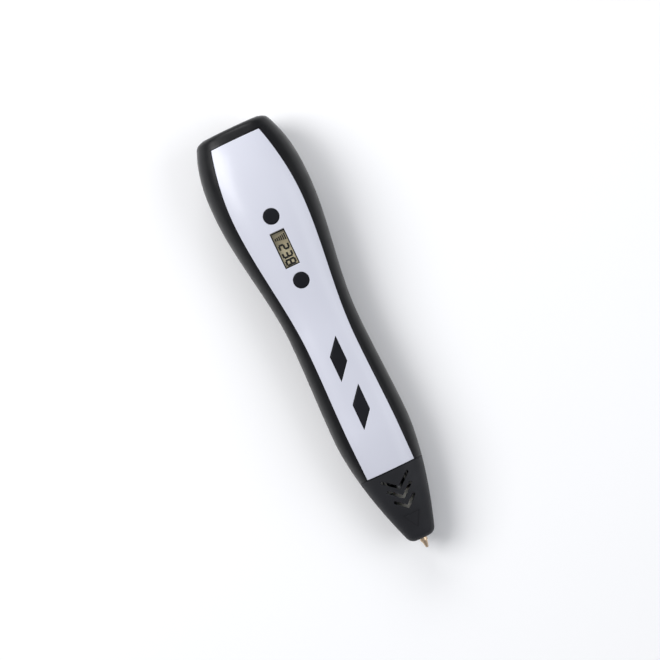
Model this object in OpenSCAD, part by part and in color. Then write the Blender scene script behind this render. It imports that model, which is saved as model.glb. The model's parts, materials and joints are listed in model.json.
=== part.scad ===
// Handheld pen that melts and draws with plastic filament.
// It lies on its back: +Z comes up out of the face panel, +Y points to the
// rear end where the filament and the power plug go in, and the nozzle is at -Y.
// X = 0 is the middle of the pen and Z = 0 is the surface that it rests on.
// A "station" is a distance from the rear end, measured along the pen.

/* [Overall shape] */
// Length of the two shells, from the rear end to the nose seam
body_length = 149.5; // [125:0.5:180]
// Length of the nose cone past the seam
nose_length = 30.2; // [25:0.1:36]
// Width across the fat rear part
bulb_width = 41.2; // [35:0.1:50]
// Height of the fat rear part
bulb_height = 31; // [29:0.1:37]
// Width across the waist
waist_width = 29.3; // [27:0.1:36]
// Width across the finger grip
grip_width = 31.4; // [28:0.1:38]
// Width across the rear end
end_width = 29; // [27:0.1:34]
// Width of the nose cone at its tip
tip_width = 10.6; // [9:0.1:14]
// Height of the nose cone at its tip
tip_height = 10.4; // [9:0.1:14]
// Squareness of the cross-section, where 2 is an ellipse
squareness = 2.6; // [2:0.1:3.2]
// Wall of the shells
wall = 2; // [1.6:0.1:2.4]
// Wall of the nose cone
nose_wall = 2; // [1.4:0.1:2.4]

/* [Face panel] */
// Width of the panel at its rear edge
panel_end_width = 20.7; // [18:0.1:23]
// Widest part of the panel
panel_bulb_width = 29.2; // [25:0.1:32]
// Narrowest part of the panel
panel_waist_width = 19.5; // [18:0.1:22]
// Width of the panel beside the grip
panel_grip_width = 20.8; // [18:0.1:23]
// Thickness of the panel plate
panel_thick = 1.8; // [1.2:0.1:2]
// Groove between the panel and the front shell
panel_gap = 0.3; // [0.15:0.05:0.5]
// Width of the lip that holds the panel from inside
panel_lip = 1.4; // [1:0.1:1.8]

/* [Buttons and display] */
// Diameter of the round temperature buttons
round_button_d = 6.15; // [5:0.05:7]
// Width of the slanted drive buttons
slant_button_width = 5.2; // [4:0.1:6]
// Length of the long sides of the slanted buttons
slant_button_side = 10.25; // [8:0.05:11]
// Offset between the two long sides of the slanted buttons
slant_button_skew = 6.25; // [4:0.05:6.5]
// How far every button can be pressed
button_travel = 0.5; // [0.3:0.05:0.6]
// Clearance around every button
button_gap = 0.2; // [0.1:0.05:0.3]
// Width of the display window
window_width = 6.15; // [5:0.05:7]
// Length of the display window
window_length = 15; // [12:0.5:16]

/* [Filament and power] */
// Diameter of the filament
filament_d = 1.75; // [1.7:0.05:2.1]
// Bore of the filament inlet
inlet_bore_d = 2.1; // [2.1:0.05:2.5]
// Bore of the power socket, for a 5.5 mm barrel plug
jack_bore_d = 5.7; // [5.6:0.1:6.6]
// Depth of the power socket
jack_depth = 9.5; // [8:0.5:10]

/* [Drive] */
// Diameter of the motor and its gearbox
motor_d = 12; // [10:0.5:13]
// Length of the motor
motor_length = 16; // [13:0.5:19]
// Length of the gearbox
gearbox_length = 12; // [10:0.5:14]
// Outer diameter of the feed screw
screw_d = 7; // [6:0.1:8]
// Length of the feed screw's thread
screw_length = 16; // [14:0.5:18]
// Advance of the feed screw in one turn
screw_lead = 2; // [1.5:0.1:3]
// Outer diameter of the idler roller
roller_d = 6; // [5:0.1:6.4]

/* [Hot end] */
// Outer diameter of the guide tubes
tube_d = 4; // [3.4:0.1:4.4]
// Diameter of the heater barrel
heater_d = 6.4; // [5.5:0.1:7]
// Diameter of the insulation around the heater
insulation_d = 8.6; // [8:0.1:9]
// Diameter of the nozzle where it leaves the nose cone
nozzle_d = 3; // [2.4:0.1:3.4]
// How far the nozzle stands out of the nose cone
nozzle_out = 4.3; // [3:0.1:6]
// Side of the square cooling fan
fan_side = 15; // [13:0.5:16]

/* [Hidden] */
$fn = 48;
tiny = 0.01;
over = 1;

// Stations of the outer shape
bulb_at = 29.5;
waist_before_seam = 61.5;
grip_before_seam = 18.5;
seam_at = body_length;
waist_at = seam_at - waist_before_seam;
grip_at = seam_at - grip_before_seam;
nose_end = seam_at + nose_length;
pen_length = nose_end + nozzle_out;
form_at = [0, bulb_at, waist_at, grip_at, nose_end];
end_power = 2.5;
tip_power = 1.67;

// Heights of the crown and of the back at those stations
end_top = bulb_height - 4;
waist_top = bulb_height - 4.5;
grip_top = bulb_height - 5.1;
end_back = 4.2;
waist_back = 2.2;
axis_z = 11.5;
form_width = [end_width, bulb_width, waist_width, grip_width, tip_width] / 2;
form_top = [end_top, bulb_height, waist_top, grip_top, axis_z + tip_height / 2];
form_back = [end_back, 0, waist_back, 0, axis_z - tip_height / 2];

// The panel's outline
panel_from = 5.7;
panel_seam_gap = 0.3;
panel_to = seam_at - panel_seam_gap;
panel_at = [panel_from, 35, seam_at - 54.5, seam_at - 16.5, panel_to];
panel_foot_width = 20.3;
panel_width = [
    panel_end_width, panel_bulb_width, panel_waist_width, panel_grip_width, panel_foot_width
] / 2;
panel_power = 1.9;
lip_clearance = 0.1;
lip_thick = 1;
lip_deep = wall + lip_clearance;
lip_under = lip_deep + lip_thick;
lip_land = 1.5;
lip_least = 0.2;

// The nose cone's collar slides into the shells, under the panel's lip
collar_clearance = 0.25;
collar_inset = lip_under + collar_clearance;
collar_length = 6;
collar_wall = 1.2;
seam_gap = 0.15;
nose_round = 2.2;
nose_end_wall = 2.5;
nose_step = 1.5;
tip_flat = 1.2;

// The button stations
warmer_at = 39.2;
cooler_at = 66.7;
feed_at = seam_at - 48.6;
retract_at = seam_at - 27.7;
window_at = 52.8;
window_x = -0.6;
button_proud = 0.35;
button_flange = 0.8;
button_flange_width = 0.9;
stem_d = 3;

// The circuit board
board_top = 20;
board_thick = 1.6;
board_width = 17;
board_from = 34;
board_to = seam_at - 15.5;
board_screw_at = [cooler_at - 1.7, board_to - 3];
board_screw_x = 6.4;
post_r = 1.9;
board_screw_bite = 3;
board_screw_head = 1;
switch_side = 6;
switch_height = 2;
plunger_d = 3.2;
plunger_proud = 0.8;
plunger_gap = 0.08;
plunger_float = 0.1;
switch_floor = 0.6;
plunger_from = board_top + switch_floor + button_travel + plunger_float;
plunger_top = board_top + switch_height + plunger_proud;

// The display
glass_width = 9;
glass_length = 19;
glass_thick = 1.6;
glass_gap = 0.3;
lens_thick = 1;
lens_flange = 0.9;
lens_gap = 0.1;
lens_down = 0.3;
lens_seat = 0.05;

// The drive line: the filament runs along X = 0 past the feed screw
bite = 0.2;
drive_x = -(filament_d / 2 + screw_d / 2 - bite);
motor_from = 24;
gearbox_from = motor_from + motor_length;
shaft_from = gearbox_from + gearbox_length;
shaft_d = 3;
shaft_in = 4.8;
shaft_end_gap = 0.2;
tube_bend = 19;
block_from = shaft_from + tube_bend;
block_wall = 1.4;
screw_from = block_from + 3;
screw_to = screw_from + screw_length;
bush_length = 3;
bush_d = 6;
bush_gap = 0.2;
running = 0.05;
tube_fit = 0.1;
journal_to = screw_to + 1 + bush_length;
thread_depth = 0.6;
block_to = journal_to + 2;
block_chamfer = 3.4;
block_gap = 0.3;
block_half_height = 6.2;
block_left = drive_x - screw_d / 2 - 0.5 - block_wall;
block_right = 12;
spring_seat = 1;
screw_room = 0.4;
roller_x = filament_d / 2 + roller_d / 2;
roller_at = screw_from + screw_length / 2;
roller_thick = 2.5;
roller_pin_d = 2;
arm_pin_d = 2;
arm_pin_x = 6.4;
arm_pin_at = roller_at + 9.5;
arm_plate = 1.2;
arm_gap = 0.25;
arm_end_r = 2;
arm_back_from = roller_x + roller_d / 2 + 0.5;
arm_back_thick = 1.1;
arm_spring_at = roller_at - 6;
spring_d = 3;
spring_wire_r = 0.2;
spring_turns = 3;

// Rear ports
port_x = 7;
inlet_d = 5;
inlet_flange_d = 7;
inlet_length = 9;
inlet_flange = 0.8;
inlet_face = 0.05;
inlet_fit = 0.05;
inlet_countersink = 0.7;
inlet_tube_seat = 3;
jack_width = 9;
jack_wall_out = 0.4;
jack_collar_d = 8;
jack_pin_d = 2;
jack_pin_back = 1.5;
jack_pin_tail = 4.5;
jack_base = 3;
collar_fit = 0.1;
shoulder_gap = 0.1;
inlet_x = drive_x + motor_d / 2 + tube_d / 2 + 0.6;

// The hot end
break_from = seam_at - 2;
break_to = seam_at + 9;
sink_from = break_from + 1;
seat_wall = 0.8;
seat_length = 4;
seat_to = break_from + 4.5;
break_thread = 2;
sleeve_end = 0.5;
nozzle_step = 1.5;
sink_fins = 4;
fin_thick = 0.9;
fin_pitch = 1.8;
fin_r = axis_z - back_z(sink_from) - collar_inset - collar_wall - 0.15;
sink_hub_r = 3.2;
break_r = 1.9;
heater_to = nose_end - 8;
heater_from = break_to;
sleeve_gap = 0.1;
orifice_d = 0.7;
nozzle_thread_d = 5;
nozzle_hex = 6;
nozzle_fit = 0.25;
melt_d = 2;

// The fan sits under the front guide tube
fan_at = seam_at - 19;
fan_bottom = wall + 1.4;
fan_height = 4.4;
fan_wall = 0.6;
fan_plate = 0.6;
fan_blades = 7;
fan_hub_r = 2.6;

// Case screws: station, then distance from the middle, just outside the panel
screw_r = 1;
screw_head_r = 1.8;
screw_head = 1.3;
screw_bite = 4.6;
boss_r = 1.9;
boss_gap = 0.25;
boss_split = 0.05;
foot_gap = 0.15;
roof_gap = 0.3;
head_depth = 1.8;
blind_end = 0.4;
function case_screw(s) = [s, panel_half(s) + panel_gap + boss_r + 0.05];
case_screws_at = [case_screw(15), case_screw(seam_at - 11)];
screw_fit = 0.03;
screw_room_r = 0.1;
cross_length = 2.2;
cross_width = 0.4;
cross_depth = 0.6;
head_room = 0.2;

// Facets of the skins
around = 20;
body_rows = 30;
nose_rows = 9;

// ---------- Curves ----------

function ease(u) = u * u * (3 - 2 * u);
function between(a, b, u) = a + (b - a) * u;
// A size that rises to the bulb, falls to the waist, rises to the grip and tapers off
function profile(at, size, s, first, last) =
    s < at[1] ? between(size[1], size[0], pow((at[1] - s) / (at[1] - at[0]), first))
    : s < at[2] ? between(size[1], size[2], ease((s - at[1]) / (at[2] - at[1])))
    : s < at[3] ? between(size[2], size[3], ease((s - at[2]) / (at[3] - at[2])))
    : between(size[3], size[4], pow((s - at[3]) / (at[4] - at[3]), last));
function half_width(s) = profile(form_at, form_width, s, end_power, tip_power);
function top_z(s) = profile(form_at, form_top, s, end_power, tip_power);
function back_z(s) = profile(form_at, form_back, s, end_power, tip_power);
function middle_z(s) = (top_z(s) + back_z(s)) / 2;
function half_height(s) = (top_z(s) - back_z(s)) / 2;
function panel_half(s) = profile(panel_at, panel_width, s, panel_power, 1);
// Rise of the outer surface above the middle plane at a distance x from the middle
function rise(s, x, inset) =
    (half_height(s) - inset)
    * pow(max(0, 1 - pow(abs(x) / (half_width(s) - inset), squareness)), 1 / squareness);
function crown_z(s, x, inset = 0) = middle_z(s) + rise(s, x, inset);
function belly_z(s, x, inset = 0) = middle_z(s) - rise(s, x, inset);
function along(s) = pen_length / 2 - s;
// One point of a section, by angle
function bend(v) = sign(v) * pow(abs(v), 2 / squareness);
function section_point(s, half_w, half_h, angle) =
    [half_w * bend(cos(angle)), along(s), middle_z(s) + half_h * bend(sin(angle))];
function steps(a, b, count) = [for (i = [0:count]) between(a, b, i / count)];

// ---------- Solids made of rows of points ----------

// Two triangles of one cell of a grid, without those that have shrunk to a line
function triangle_area(p, f) = norm(cross(p[f[1]] - p[f[0]], p[f[2]] - p[f[0]]));
function cell(p, a, b, c, d) =
    [for (f = [[a, b, c], [a, c, d]]) if (triangle_area(p, f) > 0.000001) f];

// A wall between an outer and an inner grid that have the same rows and columns
module wall_between(outer, inner) {
    rows = len(outer);
    cols = len(outer[0]);
    half = rows * cols;
    points = concat([for (row = outer) each row], [for (row = inner) each row]);
    faces = [
        for (i = [0:rows - 2]) for (j = [0:cols - 2])
            let (a = i * cols + j)
            each concat(
                cell(points, a, a + 1, a + cols + 1, a + cols),
                cell(points, half + a, half + a + cols, half + a + cols + 1, half + a + 1)
            )
    ];
    sides = [
        for (i = [0:rows - 2])
            let (a = i * cols, b = a + cols - 1)
            each concat(
                cell(points, a, a + cols, half + a + cols, half + a),
                cell(points, b, half + b, half + b + cols, b + cols)
            )
    ];
    ends = [
        for (j = [0:cols - 2])
            let (b = (rows - 1) * cols + j)
            each concat(
                cell(points, j, half + j, half + j + 1, j + 1),
                cell(points, b, b + 1, half + b + 1, half + b)
            )
    ];
    polyhedron(points, concat(faces, sides, ends));
}

// A solid through rings of points, closed with a flat face at both ends
module loft(rings) {
    count = len(rings[0]);
    last = (len(rings) - 1) * count;
    points = [for (ring = rings) each ring];
    skin = [
        for (i = [0:len(rings) - 2]) for (j = [0:count - 1])
            let (k = (j + 1) % count, a = i * count, b = a + count)
            each cell(points, a + j, b + j, b + k, a + k)
    ];
    caps = [[for (j = [0:count - 1]) j], [for (j = [0:count - 1]) last + count - 1 - j]];
    polyhedron(points, concat(skin, caps));
}

// A ring-shaped wall: every row is a whole ring, and the last row meets the first
module ring_wall(rings) {
    rows = len(rings);
    count = len(rings[0]);
    points = [for (ring = rings) each ring];
    faces = [
        for (i = [0:rows - 1]) for (j = [0:count - 1])
            let (k = (j + 1) % count, a = i * count, b = ((i + 1) % rows) * count)
            each cell(points, a + j, b + j, b + k, a + k)
    ];
    polyhedron(points, faces);
}

// A slab that follows the crown of the pen
module crown_slab(x_from, x_to, s_from, s_to, deep_from, deep_to, rows = 4, cols = 4) {
    loft([
        for (s = steps(s_to, s_from, rows))
            concat(
                [for (x = steps(x_from, x_to, cols)) [x, along(s), crown_z(s, x, deep_from)]],
                [for (x = steps(x_to, x_from, cols)) [x, along(s), crown_z(s, x, deep_to)]]
            )
    ]);
}

// A thin cable through a few points
function direction(points, i) =
    let (d = points[min(i + 1, len(points) - 1)] - points[max(i - 1, 0)]) d / norm(d);
function curve_point(p, i, u) =
    let (a = p[max(i - 1, 0)], b = p[i], c = p[i + 1], d = p[min(i + 2, len(p) - 1)])
    b + (c - a) * u / 2
    + (2 * a - 5 * b + 4 * c - d) * u * u / 2
    + (3 * b - a - 3 * c + d) * u * u * u / 2;
module cable(route, radius, sides = 8, each_span = 3) {
    path = concat(
        [for (i = [0:len(route) - 2]) for (k = [0:each_span - 1]) curve_point(route, i, k / each_span)],
        [route[len(route) - 1]]
    );
    loft([
        for (i = [0:len(path) - 1])
            let (
                t = direction(path, i),
                u = cross(t, [0.3, 0.2, 1]) / norm(cross(t, [0.3, 0.2, 1])),
                v = cross(t, u)
            )
            [for (j = [0:sides - 1]) let (a = j * 360 / sides) path[i] + radius * (cos(a) * u + sin(a) * v)]
    ]);
}

// A shape of revolution or a rod along the pen, from one station to another
module at_station(s, x = 0, z = axis_z) { translate([x, along(s), z]) rotate([90, 0, 0]) children(); }
module rod(s_from, s_to, r, x = 0, z = axis_z) {
    at_station(s_from, x, z) cylinder(h = s_to - s_from, r = r);
}
module block(x_from, x_to, s_from, s_to, z_from, z_to) {
    translate([x_from, along(s_to), z_from]) cube([x_to - x_from, s_to - s_from, z_to - z_from]);
}

// ---------- Casing ----------

// Rows of a half shell: the end wall first, then the stations up to the seam
end_fill = [0, 0.35, 0.7, 0.9];
end_edge = 2.4;
function end_round(inset) = max(end_edge - inset, 0.4);
function shell_rows(inset, start, from_angle, to_angle) = concat(
    [
        for (f = end_fill)
            let (cut = inset + end_round(inset), w = half_width(start) - cut, h = half_height(start) - cut)
            [for (t = steps(from_angle, to_angle, around)) section_point(start, w, f * h, t)]
    ],
    [
        for (k = [0:3])
            let (
                s = start + end_round(inset) * (1 - cos(k * 30)),
                cut = inset + end_round(inset) * (1 - sin(k * 30))
            )
            [for (t = steps(from_angle, to_angle, around))
                section_point(s, half_width(s) - cut, half_height(s) - cut, t)]
    ],
    [
        for (s = steps(start + end_round(inset), seam_at, body_rows))
            if (s > start + end_round(inset))
            [for (t = steps(from_angle, to_angle, around))
                section_point(s, half_width(s) - inset, half_height(s) - inset, t)]
    ]
);
module half_shell(from_angle, to_angle) {
    wall_between(
        shell_rows(0, 0, from_angle, to_angle),
        shell_rows(wall, wall, from_angle, to_angle)
    );
}

// The outline of the panel, a little wider or narrower
function panel_outline(more) = concat(
    [for (s = steps(panel_from - more, seam_at + over, body_rows)) [outline_half(s) + more, along(s)]],
    [for (s = steps(seam_at + over, panel_from - more, body_rows)) [-outline_half(s) - more, along(s)]]
);
function outline_half(s) = panel_half(min(max(s, panel_from), panel_to));

module boss(s, x, from_z, to_z, r = boss_r) {
    translate([x, along(s), from_z]) cylinder(h = to_z - from_z, r = r, $fn = 32);
}
function boss_foot(s, x) = belly_z(s, abs(x) + boss_r) + foot_gap;
function boss_roof(s, x) = crown_z(s, abs(x) + boss_r) - roof_gap;
function head_seat(s, x) = boss_foot(s, x) + head_depth;

module front_shell() {
    color("#1c1c20")
    difference() {
        union() {
            difference() {
                half_shell(180, 0);
                translate([0, 0, axis_z + over])
                    linear_extrude(height = bulb_height) polygon(panel_outline(panel_gap));
            }
            for (p = case_screws_at) for (side = [-1, 1])
                boss(p[0], side * p[1], middle_z(p[0]) + boss_split, boss_roof(p[0], p[1]));
        }
        for (p = case_screws_at) for (side = [-1, 1])
            translate([side * p[1], along(p[0]), middle_z(p[0]) - over])
                cylinder(h = over + screw_bite + blind_end, r = screw_r + screw_fit, $fn = 24);
    }
}

vent_length = 9;
vent_width = 1.2;
vent_pitch = 2.6;
module rear_vents() {
    for (k = [-2:2])
        block(k * vent_pitch - vent_width / 2, k * vent_pitch + vent_width / 2,
            fan_at - vent_length / 2, fan_at + vent_length / 2, -over, wall + over);
}

rib_thick = 1.6;
rib_gap = 0.1;
// A rib that stands on the back and carries a round part
module cradle(s, x, half, r) {
    difference() {
        block(x - half, x + half, s - rib_thick / 2, s + rib_thick / 2,
            belly_z(s, abs(x) + half) + 0.2, axis_z);
        rod(s - rib_thick, s + rib_thick, r + rib_gap, x);
    }
}
// A rib that stands on the back and carries a flat-bottomed part
module prop(s, half, to_z, x = 0) {
    block(x - half, x + half, s - rib_thick / 2, s + rib_thick / 2,
        belly_z(s, abs(x) + half) + 0.2, to_z);
}

module rear_shell() {
    color("#1c1c20")
    difference() {
        union() {
            half_shell(360, 180);
            for (p = case_screws_at) for (side = [-1, 1])
                boss(p[0], side * p[1], boss_foot(p[0], p[1]), middle_z(p[0]) - boss_split);
            cradle(motor_from + 4, drive_x, 5, motor_d / 2);
            cradle(shaft_from - 3, drive_x, 5, motor_d / 2);
            prop(block_from + 3, 6, axis_z - block_half_height);
            prop(block_to - 3, 6, axis_z - block_half_height);
            prop(fan_at - fan_side / 2 + 1, 4, fan_bottom);
            prop(fan_at + fan_side / 2 - 1, 4, fan_bottom);
        }
        for (p = case_screws_at) for (side = [-1, 1])
            translate([side * p[1], along(p[0]), 0]) {
                translate([0, 0, -over])
                    cylinder(h = head_seat(p[0], p[1]) + over, r = screw_head_r + head_room, $fn = 32);
                cylinder(h = bulb_height, r = screw_r + screw_room_r, $fn = 24);
            }
        rod(-over, wall + over, inlet_d / 2 + inlet_fit, inlet_x);
        rod(-over, inlet_flange, inlet_flange_d / 2 + inlet_fit, inlet_x);
        rod(-over, wall + over, jack_collar_d / 2 + collar_fit, -port_x);
        rear_vents();
    }
}

// How far out the lip goes: it stops where the shell curves down
function lip_reach(s) =
    max(panel_half(s) + lip_least, min(panel_half(s) + panel_lip, half_width(s) - lip_under));
module face_panel() {
    cols = 8;
    module hat() {
        loft([
            for (s = steps(panel_to, panel_from, body_rows))
                let (w = panel_half(s), y = along(s), land = w - lip_land, lip = lip_reach(s))
                concat(
                    [for (x = steps(-w, w, cols)) [x, y, crown_z(s, x)]],
                    [for (x = [w, lip]) [x, y, crown_z(s, x, lip_deep)]],
                    [for (x = steps(lip, land, 2)) [x, y, crown_z(s, x, lip_deep) - lip_thick]],
                    [for (x = steps(land, -land, cols)) [x, y, crown_z(s, x, panel_thick)]],
                    [for (x = steps(-land, -lip, 2)) [x, y, crown_z(s, x, lip_deep) - lip_thick]],
                    [for (x = [-lip, -w]) [x, y, crown_z(s, x, lip_deep)]]
                )
        ]);
    }
    color("#eef0fb")
    difference() {
        union() {
            hat();
            for (s = board_screw_at) for (side = [-1, 1])
                translate([side * board_screw_x, along(s), board_top])
                    cylinder(h = crown_z(s, board_screw_x + post_r, 0.6) - board_top, r = post_r, $fn = 32);
        }
        for (s = [warmer_at, cooler_at])
            translate([0, along(s), board_top + over])
                cylinder(h = bulb_height, r = round_button_d / 2 + button_gap);
        for (s = [feed_at, retract_at])
            translate([0, along(s), board_top + over])
                linear_extrude(height = bulb_height) slant(button_gap);
        block(window_x - window_width / 2, window_x + window_width / 2, window_at - window_length / 2,
            window_at + window_length / 2, board_top + over, bulb_height + over);
        for (s = board_screw_at) for (side = [-1, 1])
            translate([side * board_screw_x, along(s), board_top - over])
                cylinder(h = over + board_screw_bite + 0.2, r = screw_r + screw_fit, $fn = 24);
        for (p = case_screws_at) for (side = [-1, 1])
            boss(p[0], side * p[1], axis_z, bulb_height, boss_r + boss_gap);
    }
}

// Air slots: distance past the seam, then the arms' spread and depth
slot_width = 1.2;
slots = [[7.6, 5.4, 4.5], [11.7, 4.7, 4.1], [16, 4, 3.6]];
module chevron_slot(s, spread, depth) {
    arm = norm([spread, depth]);
    for (side = [-1, 1])
        translate([0, along(s)]) rotate(90 - side * (90 - atan2(depth, spread)))
            translate([0, -slot_width / 2]) union() {
                square([arm, slot_width]);
                translate([arm, slot_width / 2]) circle(d = slot_width, $fn = 24);
            }
    translate([0, along(s)]) circle(d = slot_width * 1.15, $fn = 24);
}

module nose_cone() {
    from = seam_at + seam_gap;
    function ring(s, inset) =
        let (w = half_width(s) - inset, h = half_height(s) - inset)
        [for (k = [0:2 * around - 1]) section_point(s, w, h, k * 180 / around)];
    outside = concat(
        [ring(seam_at - collar_length, collar_inset), ring(from, collar_inset)],
        [for (s = steps(from, nose_end - nose_round, nose_rows)) ring(s, 0)],
        [for (k = [1:3]) ring(nose_end - nose_round * (1 - sin(k * 30)), nose_round * (1 - cos(k * 30)))],
        [ring(nose_end, tip_width / 2 - tip_flat)]
    );
    inside = concat(
        [ring(nose_end - nose_end_wall, tip_width / 2 - tip_flat)],
        [for (s = steps(nose_end - nose_end_wall, seam_at + nose_step, nose_rows)) ring(s, nose_wall)],
        [for (s = [seam_at - 1, seam_at - collar_length]) ring(s, collar_inset + collar_wall)]
    );
    color("#2e2f35")
    difference() {
        ring_wall(concat(outside, inside));
        rod(nose_end - 4, nose_end + over, nozzle_d / 2 + nozzle_fit);
        translate([0, 0, axis_z])
            linear_extrude(height = bulb_height)
                for (slot = slots) chevron_slot(seam_at + slot[0], slot[1], slot[2]);
    }
}

module case_screws() {
    color("#8a8d93")
    for (p = case_screws_at) for (side = [-1, 1])
        translate([side * p[1], along(p[0]), head_seat(p[0], p[1])]) difference() {
            union() {
                translate([0, 0, -screw_head]) cylinder(h = screw_head, r = screw_head_r, $fn = 32);
                cylinder(h = middle_z(p[0]) - head_seat(p[0], p[1]) + screw_bite, r = screw_r, $fn = 24);
            }
            for (turn = [0, 90]) rotate(turn)
                translate([-cross_length / 2, -cross_width / 2, -screw_head - tiny])
                    cube([cross_length, cross_width, cross_depth]);
        }
}

// ---------- Rear ports ----------

module filament_inlet() {
    color("#b08d57")
    difference() {
        union() {
            rod(inlet_face, inlet_flange, inlet_flange_d / 2, inlet_x);
            rod(inlet_flange, inlet_length, inlet_d / 2, inlet_x);
        }
        rod(-over, inlet_length + over, inlet_bore_d / 2, inlet_x);
        rod(inlet_length - inlet_tube_seat, inlet_length + over, tube_d / 2 + tube_fit, inlet_x);
        at_station(inlet_face - tiny, inlet_x)
            cylinder(h = inlet_countersink, r1 = inlet_bore_d / 2 + inlet_countersink, r2 = inlet_bore_d / 2);
    }
}

module power_jack() {
    half = jack_width / 2;
    back = jack_depth + jack_base;
    front = wall + shoulder_gap;
    color("#26262a")
    difference() {
        union() {
            rod(jack_wall_out, front, jack_collar_d / 2, -port_x);
            rod(front, back, half, -port_x);
            block(-port_x - half, -port_x + half, front, back, axis_z, axis_z + half);
        }
        rod(-over, jack_wall_out + jack_depth, jack_bore_d / 2, -port_x);
        rod(jack_depth, back + over, jack_pin_d / 2, -port_x);
    }
}

module power_jack_pin() {
    color("#c9ccd1")
    union() {
        rod(jack_wall_out + jack_pin_back, jack_depth + jack_pin_tail, jack_pin_d / 2, -port_x);
        at_station(jack_wall_out + jack_pin_back, -port_x) sphere(r = jack_pin_d / 2, $fn = 32);
    }
}

// ---------- Display ----------

module window_slab(more, deep_from, deep_to) {
    crown_slab(window_x - window_width / 2 - more, window_x + window_width / 2 + more,
        window_at - window_length / 2 - more, window_at + window_length / 2 + more, deep_from, deep_to);
}
module display_lens() {
    color("#cfc9a4")
    union() {
        window_slab(-lens_gap, lens_down, panel_thick + lens_seat + lens_gap);
        window_slab(lens_flange, panel_thick + lens_seat, panel_thick + lens_thick);
    }
}
window_drop = top_z(window_at - window_length / 2) - top_z(window_at + window_length / 2);
window_tilt = atan2(window_drop, window_length);
glass_top = crown_z(window_at, window_width, panel_thick + lens_thick) - glass_gap;
module display_glass() {
    color("#8f8a66")
    translate([window_x, along(window_at), glass_top]) rotate([window_tilt, 0, 0])
        translate([-glass_width / 2, -glass_length / 2, -glass_thick])
            cube([glass_width, glass_length, glass_thick]);
}
module display_holder() {
    under = glass_top - glass_thick / cos(window_tilt) - 0.02;
    reach = glass_length / 2 - 0.5;
    lift = reach * tan(window_tilt);
    color("#e8e8e4")
    translate([window_x - glass_width / 2, along(window_at), 0]) rotate([90, 0, 90])
        linear_extrude(height = glass_width)
            polygon([[-reach, board_top], [reach, board_top], [reach, under + lift], [-reach, under - lift]]);
}

// ---------- Circuit board ----------

module main_board() {
    color("#1f5f3a")
    difference() {
        block(-board_width / 2, board_width / 2, board_from, board_to, board_top - board_thick, board_top);
        for (s = board_screw_at) for (side = [-1, 1])
            translate([side * board_screw_x, along(s), board_top - board_thick - over])
                cylinder(h = board_thick + 2 * over, r = screw_r + screw_room_r, $fn = 24);
    }
}
module board_chips() {
    color("#222226") {
        block(-3, 3, waist_at - 7, waist_at - 1, board_top, board_top + 1.6);
        block(-7.5, -5, warmer_at - 2, warmer_at + 3, board_top, board_top + 1.5);
        block(5, 7.5, warmer_at - 2, warmer_at + 2, board_top, board_top + 1.5);
        translate([6, along(cooler_at + 9), board_top]) cylinder(h = 3.4, r = 2);
        block(5, 7.4, feed_at - 4, feed_at + 3, board_top, board_top + 0.9);
    }
}
module board_screws() {
    color("#8a8d93")
    for (s = board_screw_at) for (side = [-1, 1])
        translate([side * board_screw_x, along(s), board_top - board_thick]) difference() {
            union() {
                cylinder(h = board_thick + board_screw_bite, r = screw_r, $fn = 24);
                translate([0, 0, -board_screw_head])
                    cylinder(h = board_screw_head, r = screw_head_r, $fn = 32);
            }
            for (turn = [0, 90]) rotate(turn)
                translate([-cross_length / 2, -cross_width / 2, -board_screw_head - tiny])
                    cube([cross_length, cross_width, cross_depth]);
        }
}

module switch(s) {
    color("#2b2b2f")
    translate([0, along(s), board_top]) difference() {
        translate([-switch_side / 2, -switch_side / 2, 0]) cube([switch_side, switch_side, switch_height]);
        translate([0, 0, switch_floor])
            cylinder(h = switch_height, r = plunger_d / 2 + plunger_gap, $fn = 32);
    }
}
module plunger(s) {
    color("#101012")
    translate([0, along(s), plunger_from])
        cylinder(h = plunger_top - plunger_from, r = plunger_d / 2, $fn = 32);
}
module warmer_switch() { switch(warmer_at); }
module cooler_switch() { switch(cooler_at); }
module feed_switch() { switch(feed_at); }
module retract_switch() { switch(retract_at); }
module warmer_plunger() { plunger(warmer_at); }
module cooler_plunger() { plunger(cooler_at); }
module feed_plunger() { plunger(feed_at); }
module retract_plunger() { plunger(retract_at); }

// ---------- Buttons ----------

// The slanted outline, grown by the same distance on every side
module slant(more) {
    half = slant_button_width / 2;
    lean = slant_button_skew / slant_button_width;
    side = slant_button_side / 2 + more * norm([1, lean]);
    reach = half + more;
    polygon([
        [-reach, -lean * reach - side], [reach, lean * reach - side],
        [reach, lean * reach + side], [-reach, -lean * reach + side]
    ]);
}
function slant_reach() = slant_button_side / 2 + slant_button_skew / 2;

// Lowest height of the panel's underside over a button's flange
function flange_top(s, reach, x) =
    min(crown_z(s - reach, x, panel_thick), crown_z(s + reach, x, panel_thick)) - 0.1;

module round_button(s) {
    r = round_button_d / 2;
    flange_r = r + button_gap + button_flange_width;
    top = flange_top(s, flange_r, flange_r);
    color("#191b26")
    translate([0, along(s), 0]) {
        translate([0, 0, plunger_top]) cylinder(h = top - plunger_top - button_flange + tiny, r = stem_d / 2);
        translate([0, 0, top - button_flange]) cylinder(h = button_flange, r = flange_r);
        translate([0, 0, top - tiny]) cylinder(h = top_z(s) + button_proud - top + tiny, r = r);
    }
}
module slant_button(s) {
    grow = button_gap + button_flange_width;
    top = flange_top(s, slant_reach() + grow, slant_button_width / 2 + grow);
    color("#191b26")
    translate([0, along(s), 0]) {
        translate([0, 0, plunger_top]) cylinder(h = top - plunger_top - button_flange + tiny, r = stem_d / 2);
        translate([0, 0, top - button_flange]) linear_extrude(height = button_flange) slant(grow);
        translate([0, 0, top - tiny])
            linear_extrude(height = top_z(s) + button_proud - top + tiny) slant(0);
    }
}
module warmer_button() { round_button(warmer_at); }
module cooler_button() { round_button(cooler_at); }
module feed_button() { slant_button(feed_at); }
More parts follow.
